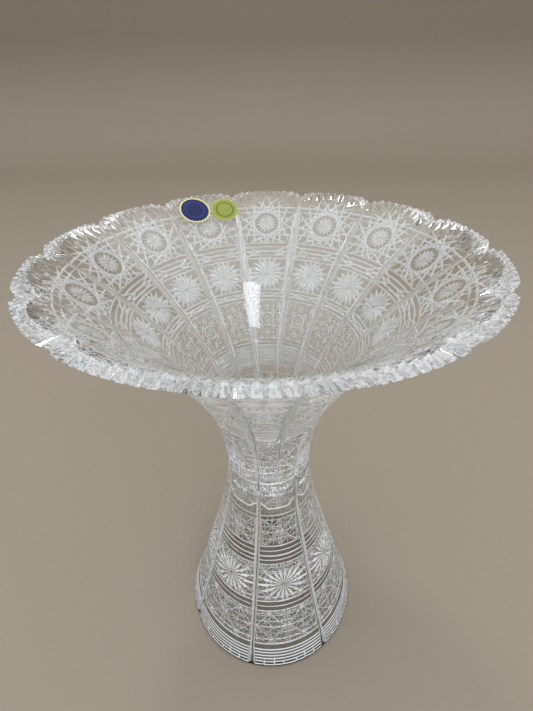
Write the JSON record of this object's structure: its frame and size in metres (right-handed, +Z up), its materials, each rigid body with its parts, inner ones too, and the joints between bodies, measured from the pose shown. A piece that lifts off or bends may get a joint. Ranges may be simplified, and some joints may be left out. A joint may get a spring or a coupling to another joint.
{
  "type": "punch bowl",
  "caption": "Flared cut-crystal punch bowl with a scalloped, toothed rim, lifting off a hollow flared stand; two small round foil seals inside the rim.",
  "frame": {"origin": "centre of the foot's underside, on the axis of the glass", "axes": "+Z up along the axis of the glass; a panel of the bowl faces -Y, and a long cut lies at +X"},
  "size_m": [0.2854, 0.286, 0.355],
  "materials": {
    "lead_crystal": "clear lead crystal, acid polished, with deep mitre, star and ring cuts and fields of fine matt cutting",
    "blue_foil": "embossed foil on paper, navy blue with a thin pale edge",
    "green_foil": "embossed foil on paper, pale yellow-green with a darker ring"
  },
  "bodies": {
    "stand": {"stand": "lead_crystal"},
    "bowl": {"bowl": "lead_crystal", "blue_seal": "blue_foil", "green_seal": "green_foil"}
  },
  "joints": [
    {"name": "bowl_lift", "type": "slide", "parent": "stand", "child": "bowl", "axis": [0, 0, 1], "range_m": [0, 0.03]}
  ]
}
